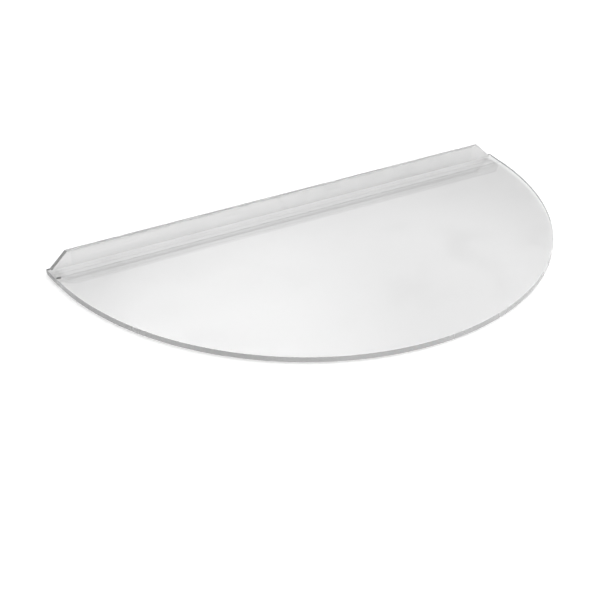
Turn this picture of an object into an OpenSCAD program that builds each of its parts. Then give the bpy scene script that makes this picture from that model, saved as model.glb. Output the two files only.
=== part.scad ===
// Half-round clear acrylic sneeze guard, lying flat.
// A half-disc panel is butt-joined to a straight L-section mounting profile.
// +X runs along the straight rear edge, +Y points to the rear, +Z is up.
// The origin is the centre of the footprint, on the plane that the guard lies on.

/* [Panel] */
// Width of the guard along its straight rear edge
guard_w = 500; // [300:10:900]
// Thickness of the acrylic panel
panel_t = 5; // [4.5:0.5:8]
// Length of the short straight sides, between the joint and the arc
side_straight = 3; // [1:0.5:20]

/* [Mounting profile] */
// Depth of the profile's horizontal web, flange thickness included
web_d = 19.5; // [15:0.5:40]
// Thickness of the web and of the flange
profile_t = 4.5; // [3:0.5:4.5]
// Height of the profile, from the underside of the web to the top of the flange
profile_h = 20; // [15:1:40]
// Distance from the web's end to the foot of the flange
flange_inset = 3.5; // [1:0.5:10]
// Outside radius of the heel
heel_r = 3; // [0.5:0.5:4]
// Inside radius between web and flange
fillet_r = 1; // [0.5:0.5:2]

/* [Joint] */
// Width of the cement line between the web and the panel
bead_w = 0.5; // [0.3:0.1:1]
// Diameter of the cement drop at the left end of the joint
drop_d = 6; // [3:0.5:8]
// Height of the cement drop
drop_h = 0.8; // [0.3:0.1:1.5]
// Width of the joint strip, centred under the joint
strip_w = 22; // [12:1:30]
// Thickness of the joint strip
strip_t = 2; // [1:0.5:4]
// Distance from the guard's sides to the ends of the strip
strip_inset = 4; // [2:0.5:10]
// Size of the 45 degree cuts on the strip's front corners
strip_cut = 10; // [2:1:11]

/* [Mounting tape] */
// Width of the double-sided tape on the back of the flange
tape_w = 12; // [6:1:14]
// Length of the tape
tape_len = 450; // [200:10:450]
// Thickness of the tape
tape_t = 1; // [0.5:0.5:2]

/* [Hidden] */
$fn = 180;

panel_r = guard_w / 2;
body_z = strip_t;                      // underside of the panel and of the web
flange_h = profile_h - profile_t;      // height of the flange above the web
joint_y = web_d + bead_w / 2;          // depth of the joint's centre line
panel_y = web_d + bead_w;              // depth of the panel's straight edge
arc_y = panel_y + side_straight;       // depth of the arc's centre
depth = tape_t + arc_y + panel_r;
back_y = depth / 2 - tape_t;           // back face of the flange
cut_over = 10;                         // how far a cutting solid runs past the part

clear_acrylic = [0.88, 0.91, 0.91, 0.45];
profile_acrylic = [0.80, 0.83, 0.83, 0.55];
cement = [0.55, 0.57, 0.58, 0.80];
tape_clear = [0.78, 0.79, 0.78, 0.60];

// Moves a child drawn from the flange's back face, at y = 0, to its place
module from_back(z = body_z) {
    translate([0, back_y, z]) children();
}

// Half-disc with short straight sides, its straight edge on y = -panel_y
module panel_outline() {
    intersection() {
        translate([0, -arc_y]) circle(r = panel_r);
        translate([-panel_r, -arc_y - panel_r]) square([guard_w, panel_r]);
    }
    translate([-panel_r, -arc_y]) square([guard_w, side_straight]);
}

module guard_panel() {
    color(clear_acrylic)
        from_back()
            linear_extrude(panel_t) panel_outline();
}

// Corner piece left between a square corner at the origin and an arc of radius r
module corner_web(r) {
    difference() {
        square(r);
        translate([r, r]) circle(r = r, $fn = 48);
    }
}

// L-section: web to the left, flange upright against x = 0
module profile_section() {
    difference() {
        union() {
            translate([-web_d, 0]) square([web_d, profile_t]);
            translate([-profile_t, 0]) square([profile_t, profile_h]);
        }
        mirror([1, 0]) corner_web(heel_r);
    }
    translate([-profile_t, profile_t]) mirror([1, 0]) corner_web(fillet_r);
}

// What the 45 degree cut takes off the flange's right end
module flange_end_cut() {
    foot_x = panel_r - flange_inset;
    rise = flange_h + cut_over;
    translate([0, cut_over, 0])
        rotate([90, 0, 0])
            linear_extrude(web_d + 2 * cut_over)
                polygon([
                    [foot_x, profile_t],
                    [foot_x + cut_over, profile_t],
                    [foot_x + cut_over, profile_t + rise],
                    [foot_x - rise, profile_t + rise]
                ]);
}

module mounting_profile() {
    color(profile_acrylic)
        from_back()
            difference() {
                translate([-panel_r, 0, 0])
                    rotate([90, 0, 90])
                        linear_extrude(guard_w) profile_section();
                flange_end_cut();
                mirror([1, 0, 0]) flange_end_cut();
            }
}

// Strip cemented under the joint, with its two front corners cut at 45 degrees
module joint_strip() {
    end_x = panel_r - strip_inset;
    rear_y = strip_w / 2 - joint_y;
    front_y = -strip_w / 2 - joint_y;
    color(clear_acrylic)
        from_back(0)
            linear_extrude(strip_t)
                polygon([
                    [-end_x, rear_y],
                    [-end_x, front_y + strip_cut],
                    [-end_x + strip_cut, front_y],
                    [end_x - strip_cut, front_y],
                    [end_x, front_y + strip_cut],
                    [end_x, rear_y]
                ]);
}

// Low round drop of cement, a cap of a sphere that stands on z = 0 and lies to the front
module cement_drop() {
    cap_r = (pow(drop_d / 2, 2) + pow(drop_h, 2)) / (2 * drop_h);
    intersection() {
        translate([0, 0, drop_h - cap_r]) sphere(r = cap_r);
        translate([-drop_d, bead_w / 2 - drop_d, 0]) cube([2 * drop_d, drop_d, drop_h]);
    }
}

module joint_bead() {
    color(cement)
        from_back()
            union() {
                translate([-panel_r, -panel_y, 0])
                    cube([guard_w, bead_w, panel_t]);
                translate([drop_d / 2 - panel_r, -joint_y, panel_t])
                    cement_drop();
            }
}

// Tape on the back of the flange, in the middle of its height
module mounting_tape() {
    flat_h = profile_h - heel_r;
    color(tape_clear)
        from_back()
            translate([-tape_len / 2, 0, heel_r + (flat_h - tape_w) / 2])
                cube([tape_len, tape_t, tape_w]);
}

guard_panel();
mounting_profile();
joint_strip();
joint_bead();
mounting_tape();
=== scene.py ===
# Looks for the half-round clear acrylic sneeze guard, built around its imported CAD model.
import math

import bmesh
import bpy
from mathutils import Matrix, Vector


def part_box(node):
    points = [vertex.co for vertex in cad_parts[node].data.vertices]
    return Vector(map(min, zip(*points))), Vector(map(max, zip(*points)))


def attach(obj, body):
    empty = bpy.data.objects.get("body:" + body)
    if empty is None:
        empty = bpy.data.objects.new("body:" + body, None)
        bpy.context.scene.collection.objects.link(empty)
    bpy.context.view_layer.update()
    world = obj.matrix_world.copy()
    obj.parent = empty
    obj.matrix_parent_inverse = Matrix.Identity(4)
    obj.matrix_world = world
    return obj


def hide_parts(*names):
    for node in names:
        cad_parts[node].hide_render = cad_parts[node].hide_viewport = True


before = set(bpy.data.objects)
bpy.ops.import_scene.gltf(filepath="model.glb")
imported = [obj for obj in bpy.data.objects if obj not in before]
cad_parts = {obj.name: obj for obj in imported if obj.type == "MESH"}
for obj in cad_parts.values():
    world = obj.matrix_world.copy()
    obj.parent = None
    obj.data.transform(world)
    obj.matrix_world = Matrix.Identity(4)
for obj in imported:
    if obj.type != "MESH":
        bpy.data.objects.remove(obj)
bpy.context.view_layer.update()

MM = 0.001

# Camera, as it stands round the guard: angles in degrees, lengths in metres, the lens in millimetres
VIEW_AZIMUTH = -32.4
VIEW_ELEVATION = 30.9
VIEW_ROLL = 2.08
VIEW_DISTANCE = 1.897
VIEW_AIM = Vector((-0.053, 0.0114, -0.0166))
VIEW_LENS = 123.6

# Optics and meshes
ACRYLIC_IOR = 1.49
BONDED_IOR = 1.03          # for cement, tape and the edges that cement has wetted, which reflect little
ARRIS = 0.4 * MM           # the small bevel that polishing leaves on most edges
GLUE_GAP = 0.03 * MM       # air left between touching pieces, so that no two faces coincide
MERGE_REACH = 0.001 * MM   # points closer than this become one
ARC_STEPS = 240            # straight steps in the panel's half circle
SMOOTH_ANGLE = 25          # in degrees: a sharper corner than this isn't smoothed
FLAT_AREA = 500 * MM * MM  # faces larger than this are flat, and shaded flat

# How much of a unit normal points along an axis
FLAT = 0.95                # on a face of the sheet, and not on its bevel
FACING = 0.9               # on a face that looks along the axis
UPRIGHT = 0.6              # on the flange's two faces and the near side of their bevels
SLANTED = 0.3              # on a bevel or a 45 degree cut as well

# Floor and light: lengths in metres, angles in degrees
FLOOR_REACH = 60           # from the middle to each side, so that low views don't see past it
FLOOR_GAP = 0.2 * MM       # air under the guard, so that no two faces coincide
LAMP_DISTANCE = 2.2
WORLD_LEVEL = 0.80
WORLD_GLOWS = [            # azimuth, elevation, outer and inner angle, strength
    (0, 90, 90, 0, 0.20),        # overhead
    (144.5, 37.4, 11, 8, 0.90),  # behind on the right, where it reflects in the panel
    (151, 34.6, 7.5, 0, 0.90),   # beside that, softer
    (35, 10, 70, 15, 0.50),      # in front on the right
    (-95, 5, 75, 20, -0.50),     # the dim side, on the left
]

# Sizes of the CAD part that its boxes don't show
PROFILE_THICKNESS = 4.5 * MM
FLANGE_INSET = 3.5 * MM
HEEL_RADIUS = 3 * MM
FILLET_RADIUS = 1 * MM
STRIP_CUT = 10 * MM
BEAD_WIDTH = 0.5 * MM
DROP_LENGTH = 6 * MM
DROP_HEIGHT = 0.8 * MM

# Small unevenness that the CAD part doesn't have
BEAD_SAG = 0.06 * MM       # mean depth of the cement's top below the panel's
TAPE_WAVE = 0.15 * MM      # how far the tape's long edges wander to either side


# ---------------------------------------------------------------- mesh helpers

def add_object(name, mesh):
    piece = bpy.data.objects.new(name, mesh)
    bpy.context.scene.collection.objects.link(piece)
    return piece


def finish_mesh(bm, name):
    """Turns bm into an object with smooth curves and sharp corners."""
    bmesh.ops.recalc_face_normals(bm, faces=bm.faces)
    mesh = bpy.data.meshes.new(name)
    bm.to_mesh(mesh)
    bm.free()
    mesh.set_sharp_from_angle(angle=math.radians(SMOOTH_ANGLE))
    for polygon in mesh.polygons:
        polygon.use_smooth = polygon.area < FLAT_AREA
    return add_object(name, mesh)


def prism(outline, near, far, place):
    """A closed bmesh prism. place(a, b, c) puts outline point (a, b) at height c."""
    bm = bmesh.new()
    low = [bm.verts.new(place(a, b, near)) for a, b in outline]
    high = [bm.verts.new(place(a, b, far)) for a, b in outline]
    bm.faces.new(low)
    bm.faces.new(high)
    for i in range(len(outline)):
        j = (i + 1) % len(outline)
        bm.faces.new((low[i], low[j], high[j], high[i]))
    bmesh.ops.recalc_face_normals(bm, faces=bm.faces)
    return bm


def bevel_edges(bm, chosen, width):
    bmesh.ops.bevel(bm, geom=chosen, offset=width, offset_type="OFFSET",
                    segments=2, profile=0.5, affect="EDGES", clamp_overlap=True)


def sharp_edges(bm, degrees=30):
    return [e for e in bm.edges if e.calc_face_angle(0) > math.radians(degrees)]


def middle(edge):
    return (edge.verts[0].co + edge.verts[1].co) / 2


def cut_with(piece, cutter_bm):
    """Takes a cutter's volume off piece and leaves the result as a plain mesh."""
    cutter = finish_mesh(cutter_bm, "cutter")
    cut = piece.modifiers.new("cut", "BOOLEAN")
    cut.operation = "DIFFERENCE"
    cut.solver = "EXACT"
    cut.object = cutter
    with_cut = piece.evaluated_get(bpy.context.evaluated_depsgraph_get())
    mesh = bpy.data.meshes.new_from_object(with_cut)
    piece.modifiers.clear()
    piece.data = mesh
    bpy.data.objects.remove(cutter)


def set_slot(piece, index, chosen):
    """Gives the faces for which chosen(face centre, face normal) is true slot index."""
    for polygon in piece.data.polygons:
        if chosen(polygon.center, polygon.normal):
            polygon.material_index = index


# ------------------------------------------------------------- node materials

class Nodes:
    """Short way to write the node tree of a material or a world."""

    def __init__(self, owner):
        owner.use_nodes = True
        self.owner = owner
        self.tree = owner.node_tree
        self.shader = self.tree.nodes.get("Principled BSDF")

    def link(self, source, target):
        self.tree.links.new(source, target)

    def add(self, kind, **settings):
        node = self.tree.nodes.new(kind)
        for key, value in settings.items():
            setattr(node, key, value)
        return node

    def coords(self, scale=(1, 1, 1)):
        """Object coordinates in metres, stretched by scale."""
        place = self.add("ShaderNodeMapping")
        place.inputs["Scale"].default_value = scale
        self.link(self.add("ShaderNodeTexCoord").outputs["Object"], place.inputs["Vector"])
        return place.outputs["Vector"]

    def along(self, axis):
        """Object coordinate in metres along axis "X", "Y" or "Z"."""
        split = self.add("ShaderNodeSeparateXYZ")
        self.link(self.coords(), split.inputs["Vector"])
        return split.outputs[axis]

    def noise(self, vector, scale, detail=4.0, roughness=0.55, distortion=0.0):
        node = self.add("ShaderNodeTexNoise")
        node.inputs["Scale"].default_value = scale
        node.inputs["Detail"].default_value = detail
        node.inputs["Roughness"].default_value = roughness
        node.inputs["Distortion"].default_value = distortion
        self.link(vector, node.inputs["Vector"])
        return node.outputs["Fac"]

    def remap(self, value, low, high, to_low, to_high):
        node = self.add("ShaderNodeMapRange", interpolation_type="SMOOTHSTEP")
        for key, number in (("From Min", low), ("From Max", high),
                            ("To Min", to_low), ("To Max", to_high)):
            node.inputs[key].default_value = number
        self.link(value, node.inputs["Value"])
        return node.outputs["Result"]

    def cells(self, scale, **settings):
        """Distance to the nearest of many small scattered centres."""
        node = self.add("ShaderNodeTexVoronoi", **settings)
        node.inputs["Scale"].default_value = scale
        self.link(self.coords(), node.inputs["Vector"])
        return node.outputs["Distance"]

    def math(self, operation, first, second=0):
        node = self.add("ShaderNodeMath", operation=operation)
        for socket, value in zip(node.inputs, (first, second)):
            if isinstance(value, (int, float)):
                socket.default_value = value
            else:
                self.link(value, socket)
        return node.outputs["Value"]

    def colour(self, value, low, high):
        """Base colour: a neutral grey that runs from low to high as value runs from 0 to 1."""
        node = self.add("ShaderNodeMix", data_type="RGBA")
        node.inputs["A"].default_value = (low, low, low, 1)
        node.inputs["B"].default_value = (high, high, high, 1)
        self.link(value, node.inputs["Factor"])
        self.link(node.outputs["Result"], self.shader.inputs["Base Color"])

    def roughness(self, value):
        self.link(value, self.shader.inputs["Roughness"])

    def bump(self, height, distance, strength=0.5):
        node = self.add("ShaderNodeBump")
        node.inputs["Strength"].default_value = strength
        node.inputs["Distance"].default_value = distance
        self.link(height, node.inputs["Height"])
        self.link(node.outputs["Normal"], self.shader.inputs["Normal"])


def clear_material(name, transmission=1.0, ior=ACRYLIC_IOR):
    """Nodes of a new material that lets light through."""
    n = Nodes(bpy.data.materials.new(name))
    n.shader.inputs["IOR"].default_value = ior
    n.shader.inputs["Transmission Weight"].default_value = transmission
    return n


def bonded_material(name, alpha):
    """Nodes of a clear piece cemented all over: it tints what is behind it and bends no light."""
    n = Nodes(bpy.data.materials.new(name))
    n.shader.inputs["Alpha"].default_value = alpha
    n.shader.inputs["Specular IOR Level"].default_value = 0
    return n


def grainy_material(n, grain, greys, roughness):
    """Material of n, its grey and its roughness running between two values with a fine grain."""
    n.colour(n.remap(grain, 0.35, 0.7, 0, 1), *greys)
    n.roughness(n.remap(grain, 0.3, 0.7, *roughness))
    return n.owner


def die_lines(n):
    """Fine lines that the die leaves along the extruded profile."""
    return n.noise(n.coords((0.012, 1, 1)), 420, detail=3, roughness=0.7)


def panel_face_material():
    """Polished sheet: faint handling smudges, fine wipe marks and a few long waves, on a grey that is
    painted shade.
    """
    n = clear_material("clear_acrylic_face")
    smudge = n.noise(n.coords(), 14, detail=5, distortion=0.6)
    wipe = n.noise(n.coords((1, 6, 1)), 90, detail=3)
    haze = n.remap(smudge, 0.45, 0.75, 0.0, 1.0)
    # The sheet's grey, 0.862, is painted shade for the dimmer ground seen through it; the smudges darken
    # it a little more.
    n.colour(haze, 0.862, 0.836)
    n.roughness(n.math("ADD", n.remap(haze, 0, 1, 0.01, 0.05), n.remap(wipe, 0.55, 0.8, 0, 0.02)))
    n.bump(n.noise(n.coords(), 9, detail=1), 0.05 * MM, 0.25)
    return n.owner


def panel_rim_material():
    """Saw-cut and flame-polished rim: greyer, with fine marks across the sheet."""
    n = clear_material("acrylic_rim", 0.55)
    marks = n.noise(n.coords((1, 1, 0.02)), 900, detail=2)
    patches = n.noise(n.coords(), 16, detail=2)
    tone = n.math("ADD", n.remap(patches, 0.35, 0.7, 0, 0.6), n.remap(marks, 0.35, 0.65, 0, 0.4))
    n.colour(tone, 0.807, 0.927)
    n.roughness(n.remap(patches, 0.3, 0.7, 0.16, 0.30))
    n.bump(marks, 0.03 * MM)
    return n.owner


def web_material(half_width):
    """Faces of the profile's web: clear, with faint die lines, and painted shade near the sawn ends."""
    n = clear_material("extruded_acrylic_web")
    lines = die_lines(n)
    from_middle = n.math("ABSOLUTE", n.along("X"))
    # Painted shade: the web turns darker from 16 mm to 4 mm from each sawn end.
    end_shade = n.remap(from_middle, half_width - 16 * MM, half_width - 4 * MM, 0, 1)
    n.colour(n.math("ADD", n.remap(lines, 0.4, 0.75, 0, 0.25), end_shade), 0.960, 0.800)
    n.roughness(n.remap(lines, 0.45, 0.75, 0.02, 0.08))
    n.bump(lines, 0.002 * MM)
    return n.owner


def flange_material(half_width, top_z):
    """Faces of the flange: a little cloudy, darker to the right, with painted shade under the scraped
    edge; its grey is partly painted shade.
    """
    n = clear_material("extruded_acrylic_flange", 0.85)
    lines = die_lines(n)
    broad = n.noise(n.coords((0.03, 1, 1)), 130, detail=2)
    blotch = n.noise(n.coords(), 38, detail=6, roughness=0.65, distortion=0.8)
    haze = n.remap(blotch, 0.50, 0.74, 0.0, 1.0)
    cloud = n.math("MAXIMUM", haze, n.remap(broad, 0.45, 0.7, 0, 0.8))
    to_right = n.remap(n.along("X"), -0.5 * half_width, half_width, 0, 0.7)
    # Painted shade: darker in a band just under the flange's top edge.
    shade_under_edge = n.remap(n.along("Z"), top_z - 2.5 * MM, top_z - 0.5 * MM, 0, 1)
    by_place = n.math("MAXIMUM", to_right, shade_under_edge)
    # The flange's grey, 0.798 to 0.670, is partly painted shade for the dimmer ground seen through it,
    # and partly its cloud.
    n.colour(n.math("ADD", n.math("MULTIPLY", cloud, 0.5), by_place), 0.798, 0.670)
    n.roughness(n.math("ADD", n.remap(haze, 0, 1, 0.04, 0.14), n.remap(lines, 0.5, 0.75, 0, 0.06)))
    n.bump(n.math("ADD", lines, n.math("MULTIPLY", blotch, 0.6)), 0.006 * MM)
    return n.owner


def flange_edge_material():
    """Sawn and scraped top edge of the flange."""
    n = clear_material("acrylic_scraped_edge", 0.5)
    grain = n.noise(n.coords((0.05, 1, 1)), 500, detail=3)
    n.bump(grain, 0.02 * MM)
    return grainy_material(n, grain, (0.567, 0.687), (0.18, 0.32))


def sawn_end_material():
    """Sawn ends and 45 degree cuts of the profile, and the cement's ends, darker than the faces."""
    n = clear_material("acrylic_sawn_end", 0.35)
    grain = n.noise(n.coords(), 700, detail=3)
    n.bump(grain, 0.04 * MM)
    return grainy_material(n, grain, (0.347, 0.467), (0.22, 0.36))


def strip_material():
    """Cemented strip: clear, with patches where the cement didn't wet the faces."""
    n = bonded_material("cemented_strip", 0.025)
    voids = n.noise(n.coords((0.25, 1, 1)), 120, detail=4, distortion=0.4)
    haze = n.remap(voids, 0.48, 0.7, 0.0, 1.0)
    n.colour(haze, 0.627, 0.447)
    n.roughness(n.remap(haze, 0, 1, 0.2, 0.4))
    return n.owner


def strip_edge_material():
    """Sawn edges of the strip, a little easier to see than its faces."""
    n = bonded_material("strip_edge", 0.06)
    grain = n.noise(n.coords(), 500, detail=3)
    return grainy_material(n, grain, (0.423, 0.553), (0.35, 0.5))


def cement_material():
    """Cured cement: slightly grey, with tiny bubbles."""
    n = clear_material("cured_cement", ior=BONDED_IOR)
    spots = n.remap(n.cells(900), 0.15, 0.4, 1, 0)
    n.colour(spots, 0.985, 0.950)
    n.roughness(n.remap(spots, 0, 1, 0, 0.03))
    return n.owner


def cemented_edge_material():
    """Edge that the cement has wetted, so it has no gloss, with patches where air stayed."""
    n = clear_material("cemented_edge", ior=BONDED_IOR)
    air = n.remap(n.noise(n.coords((0.3, 1, 1)), 160, detail=4), 0.5, 0.7, 0, 1)
    n.colour(air, 0.998, 0.980)
    n.roughness(n.remap(air, 0, 1, 0, 0.02))
    return n.owner


def cement_skin_material():
    """Top of the cement line, which cured in the open with dust in it."""
    n = clear_material("cement_skin", 0.5, ior=BONDED_IOR)
    dust = n.noise(n.coords((0.2, 1, 1)), 600, detail=3)
    return grainy_material(n, dust, (0.55, 0.40), (0.2, 0.4))


def drop_material():
    """Thick drop of cement, darker than the thin line."""
    n = clear_material("cement_drop", 0.4)
    specks = n.noise(n.coords(), 1500, detail=2)
    n.colour(n.remap(specks, 0.4, 0.65, 0, 1), 0.165, 0.265)
    n.roughness(n.remap(specks, 0.4, 0.65, 0.12, 0.25))
    return n.owner


def tape_material():
    """Clear tape: faintly cloudy where air is trapped under it."""
    n = clear_material("clear_tape", ior=BONDED_IOR)
    air = n.noise(n.coords((0.5, 1, 1)), 60, detail=6, roughness=0.7, distortion=1.0)
    bubbles = n.remap(n.cells(260, feature="SMOOTH_F1"), 0.1, 0.35, 0.6, 0)
    haze = n.math("MAXIMUM", n.remap(air, 0.5, 0.68, 0, 1), bubbles)
    n.colour(haze, 0.994, 0.964)
    n.roughness(n.remap(haze, 0, 1, 0.02, 0.08))
    n.bump(haze, 0.004 * MM)
    return n.owner


def floor_material():
    """White ground that glows a little, so that the guard's shadow on it stays faint."""
    n = Nodes(bpy.data.materials.new("white_ground"))
    n.colour(n.noise(n.coords(), 30, detail=3), 0.940, 0.960)
    n.shader.inputs["Emission Color"].default_value = (1, 1, 1, 1)
    n.shader.inputs["Emission Strength"].default_value = 0.16
    n.shader.inputs["Roughness"].default_value = 0.7
    n.shader.inputs["Specular IOR Level"].default_value = 0.1
    return n.owner


# --------------------------------------------------------------------- pieces

def declare(piece, node, materials):
    """Gives piece its materials, hides the CAD node that it replaces, and hangs piece under the root
    body.
    """
    for material in materials:
        piece.data.materials.append(material)
    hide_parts(node)
    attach(piece, "root")


def along_z(a, b, c):
    return (a, b, c)


def along_x(a, b, c):
    return (c, a, b)


def along_y(a, b, c):
    return (a, c, b)


def arc_points(centre, radius, start, stop, steps=8):
    """Points on an arc from start to stop, in degrees."""
    turns = [math.radians(start + (stop - start) * i / steps) for i in range(steps + 1)]
    return [(centre[0] + radius * math.cos(t), centre[1] + radius * math.sin(t)) for t in turns]


def make_panel(cemented_edge):
    """Half-disc with short straight sides and a bevelled, polished rim."""
    (x0, y0, z0), (x1, y1, z1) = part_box("guard_panel")
    radius = (x1 - x0) / 2
    outline = [(x1, y1), (x0, y1), *arc_points((0, y0 + radius), radius, 180, 360, ARC_STEPS)]
    bm = prism(outline, z0, z1, along_z)
    level = [e for e in sharp_edges(bm, degrees=60) if e.verts[0].co.z == e.verts[1].co.z]
    bevel_edges(bm, [e for e in level if middle(e).y < y1 - GLUE_GAP], ARRIS)
    piece = finish_mesh(bm, "shield_panel")
    declare(piece, "guard_panel",
            [panel_face_material(), panel_rim_material(), cemented_edge])
    set_slot(piece, 1, lambda centre, normal: abs(normal.z) < FLAT and centre.y < y1 - ARRIS)
    set_slot(piece, 2, lambda centre, normal: normal.y > FACING and centre.y > y1 - GLUE_GAP)


def profile_section(y0, y1, z0, z1):
    """Outline of the L-section in y and z: web to the front, flange at the back."""
    inner_y = y1 - PROFILE_THICKNESS
    web_top = z0 + PROFILE_THICKNESS
    heel = arc_points((y1 - HEEL_RADIUS, z0 + HEEL_RADIUS), HEEL_RADIUS, -90, 0)
    fillet = arc_points((inner_y - FILLET_RADIUS, web_top + FILLET_RADIUS), FILLET_RADIUS, 0, -90)
    return [(y0, z0), *heel, (y1, z1), (inner_y, z1), *fillet, (y0, web_top)]


def flange_end_cutter(side, foot_x, foot_z, y0, y1):
    """What a 45 degree cut takes off the flange's end on one side, -1 or 1."""
    reach = 40 * MM
    far_x = side * (foot_x + reach)
    top_z = foot_z + reach
    outline = [(side * foot_x, foot_z), (far_x, foot_z), (far_x, top_z), (side * (foot_x - reach), top_z)]
    return prism(outline, y0 - reach, y1 + reach, along_y)


def make_profile(cemented_edge, sawn_end):
    """L-section with a rounded heel, an inner fillet and 45 degree flange ends."""
    (x0, y0, z0), (x1, y1, z1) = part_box("mounting_profile")
    piece = finish_mesh(prism(profile_section(y0, y1, z0, z1), x0, x1, along_x), "rear_profile")
    foot_z = z0 + PROFILE_THICKNESS
    for side in (-1, 1):
        cut_with(piece, flange_end_cutter(side, x1 - FLANGE_INSET, foot_z, y0, y1))
    bm = bmesh.new()
    bm.from_mesh(piece.data)
    bevel_edges(bm, [e for e in sharp_edges(bm) if middle(e).y > y0 + MM / 2], ARRIS)
    bpy.data.objects.remove(piece)
    piece = finish_mesh(bm, "rear_profile")
    declare(piece, "mounting_profile",
            [web_material(x1), flange_material(x1, z1), flange_edge_material(), sawn_end, cemented_edge])
    flange_front = y1 - PROFILE_THICKNESS - FILLET_RADIUS
    set_slot(piece, 1, lambda centre, normal: abs(normal.y) > UPRIGHT and centre.y > flange_front)
    set_slot(piece, 2, lambda centre, normal: normal.z > SLANTED and centre.z > z1 - MM)
    set_slot(piece, 3, lambda centre, normal: abs(normal.x) > SLANTED)
    set_slot(piece, 4, lambda centre, normal: normal.y < -FACING and centre.y < y0 + GLUE_GAP)


def make_strip():
    """Flat strip under the joint, with 45 degree front corners."""
    (x0, y0, z0), (x1, y1, z1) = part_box("joint_strip")
    outline = [(x0, y1), (x0, y0 + STRIP_CUT), (x0 + STRIP_CUT, y0),
               (x1 - STRIP_CUT, y0), (x1, y0 + STRIP_CUT), (x1, y1)]
    bm = prism(outline, z0, z1 - GLUE_GAP, along_z)
    bevel_edges(bm, sharp_edges(bm), ARRIS / 2)
    piece = finish_mesh(bm, "lap_strip")
    declare(piece, "joint_strip", [strip_material(), strip_edge_material()])
    set_slot(piece, 1, lambda centre, normal: abs(normal.z) < FACING)


def add_dome(bm, centre, half_x, half_y, height, rings=6, steps=20):
    """Half of a low oval drop: its flat side faces the rear, its dome lies to the front."""
    cx, cy, cz = centre
    rows = []
    for ring in range(rings + 1):
        lift = math.radians(90 * ring / rings)
        row = []
        for step in range(steps + 1):
            turn = math.pi * step / steps
            row.append(bm.verts.new((cx + half_x * math.cos(lift) * math.cos(turn),
                                     cy - half_y * math.cos(lift) * math.sin(turn),
                                     cz + height * math.sin(lift))))
        rows.append(row)
    for low, high in zip(rows, rows[1:]):
        for step in range(steps):
            bm.faces.new((low[step], low[step + 1], high[step + 1], high[step]))
    bm.faces.new(rows[0])
    flat_side = [row[0] for row in rows] + [row[-1] for row in reversed(rows[:-1])]
    bm.faces.new(flat_side)
    bmesh.ops.remove_doubles(bm, verts=bm.verts, dist=MERGE_REACH)


def make_bead(sawn_end):
    """Cement in the joint, almost flush with the panel, with a drop at its left end."""
    (x0, _, z0), (x1, y1, _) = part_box("joint_bead")
    panel_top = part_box("guard_panel")[1][2]
    near = y1 - BEAD_WIDTH + GLUE_GAP
    far = y1 - GLUE_GAP
    foot = z0 + GLUE_GAP
    bm = bmesh.new()
    stations = 250
    rows = []
    for i in range(stations + 1):
        x = x0 + (x1 - x0) * i / stations
        wander = math.sin(140 * x) * math.sin(61 * x + 1)
        top = panel_top - BEAD_SAG * (1 + wander)
        section = ((near, foot), (far, foot), (far, top), (near, top))
        rows.append([bm.verts.new((x, y, z)) for y, z in section])
    for low, high in zip(rows, rows[1:]):
        for k in range(4):
            bm.faces.new((low[k], low[(k + 1) % 4], high[(k + 1) % 4], high[k]))
    bm.faces.new(rows[0])
    bm.faces.new(rows[-1])
    add_dome(bm, (x0 + DROP_LENGTH / 2, y1 - BEAD_WIDTH / 2, panel_top + GLUE_GAP),
             half_x=DROP_LENGTH * 0.42, half_y=DROP_LENGTH * 0.45, height=DROP_HEIGHT - GLUE_GAP)
    piece = finish_mesh(bm, "cement_line")
    declare(piece, "joint_bead",
            [cement_material(), drop_material(), sawn_end, cement_skin_material()])
    set_slot(piece, 3, lambda centre, normal: normal.z > FACING)
    set_slot(piece, 1, lambda centre, normal: centre.z > panel_top)
    set_slot(piece, 2, lambda centre, normal: abs(normal.x) > FACING and centre.z < panel_top)


def make_tape():
    """Clear tape on the flange's back, its long edges slightly uneven."""
    (x0, y0, z0), (x1, y1, z1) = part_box("mounting_tape")
    stations = 120
    waves_per_metre = 9

    def edge(z, phase, step):
        x = x0 + (x1 - x0) * step / stations
        return (x, z + TAPE_WAVE * math.sin(waves_per_metre * x * math.tau + phase))

    outline = [edge(z0 + TAPE_WAVE, 0.4, i) for i in range(stations + 1)]
    outline += [edge(z1 - TAPE_WAVE, 2.0, i) for i in range(stations, -1, -1)]
    bm = prism(outline, y0 + GLUE_GAP, y1, along_y)
    piece = finish_mesh(bm, "flange_tape")
    declare(piece, "mounting_tape", [tape_material()])


# ------------------------------------------------------------ floor and light

def make_floor():
    bm = bmesh.new()
    bmesh.ops.create_grid(bm, x_segments=1, y_segments=1, size=FLOOR_REACH)
    floor = finish_mesh(bm, "white_floor")
    floor.location.z = -FLOOR_GAP
    floor.data.materials.append(floor_material())


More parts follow.
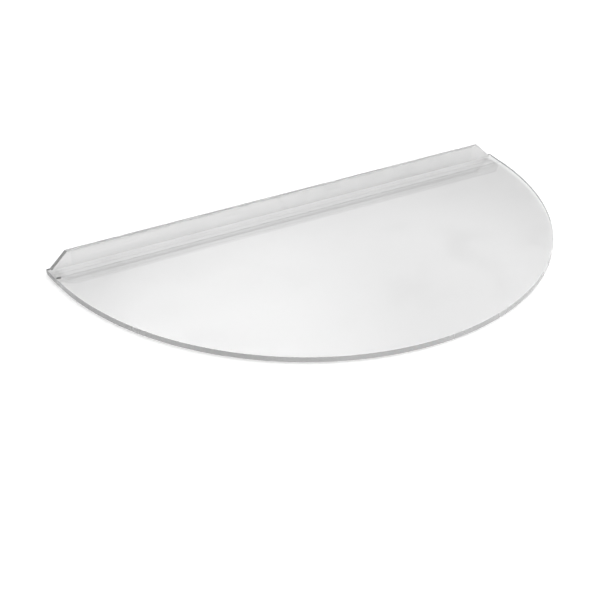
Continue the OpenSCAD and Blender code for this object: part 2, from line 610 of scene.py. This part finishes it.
def make_world():
    """White surround with the glows of WORLD_GLOWS added to it."""
    world = bpy.data.worlds.new("studio")
    bpy.context.scene.world = world
    n = Nodes(world)
    background = n.tree.nodes["Background"]
    background.inputs["Color"].default_value = (1, 1, 1, 1)
    direction = n.add("ShaderNodeTexCoord").outputs["Generated"]

    def around(azimuth, elevation, outer, inner, amount):
        """amount within inner degrees of a direction, fading to 0 at outer degrees."""
        dot = n.add("ShaderNodeVectorMath", operation="DOT_PRODUCT")
        dot.inputs[1].default_value = direction_from(azimuth, elevation)
        n.link(direction, dot.inputs[0])
        return n.remap(dot.outputs["Value"], math.cos(math.radians(outer)),
                       math.cos(math.radians(inner)), 0, amount)

    level = WORLD_LEVEL
    for glow in WORLD_GLOWS:
        level = n.math("ADD", level, around(*glow))
    n.link(level, background.inputs["Strength"])


def make_softbox(name, size, power, azimuth, elevation):
    """Square area light that faces the guard and isn't seen in reflections."""
    light = bpy.data.lights.new(name, "AREA")
    light.shape = "SQUARE"
    light.size = size
    light.energy = power
    lamp = bpy.data.objects.new(name, light)
    lamp.visible_glossy = False
    bpy.context.scene.collection.objects.link(lamp)
    toward = direction_from(azimuth, elevation)
    lamp.location = toward * LAMP_DISTANCE
    lamp.rotation_euler = toward.to_track_quat("Z", "Y").to_euler()


def direction_from(azimuth, elevation):
    """Unit vector from the guard towards a viewer. Azimuth 0 looks along +Y."""
    turn = math.radians(azimuth)
    rise = math.radians(elevation)
    return Vector((math.sin(turn) * math.cos(rise), -math.cos(turn) * math.cos(rise), math.sin(rise)))


def make_camera():
    data = bpy.data.cameras.new("camera")
    data.lens = VIEW_LENS
    data.sensor_width = 36
    data.clip_start = 0.01
    camera = bpy.data.objects.new("camera", data)
    bpy.context.scene.collection.objects.link(camera)
    toward = direction_from(VIEW_AZIMUTH, VIEW_ELEVATION)
    turned = toward.to_track_quat("Z", "Y").to_matrix().to_4x4()
    roll = Matrix.Rotation(math.radians(VIEW_ROLL), 4, "Z")
    camera.matrix_world = Matrix.Translation(VIEW_AIM + toward * VIEW_DISTANCE) @ turned @ roll
    bpy.context.scene.camera = camera


make_camera()
make_world()
make_softbox("overhead", size=2.0, power=12, azimuth=20, elevation=75)
make_floor()
cemented_edge = cemented_edge_material()
sawn_end = sawn_end_material()
make_panel(cemented_edge)
make_profile(cemented_edge, sawn_end)
make_strip()
make_bead(sawn_end)
make_tape()

bpy.context.scene.view_settings.view_transform = "Standard"
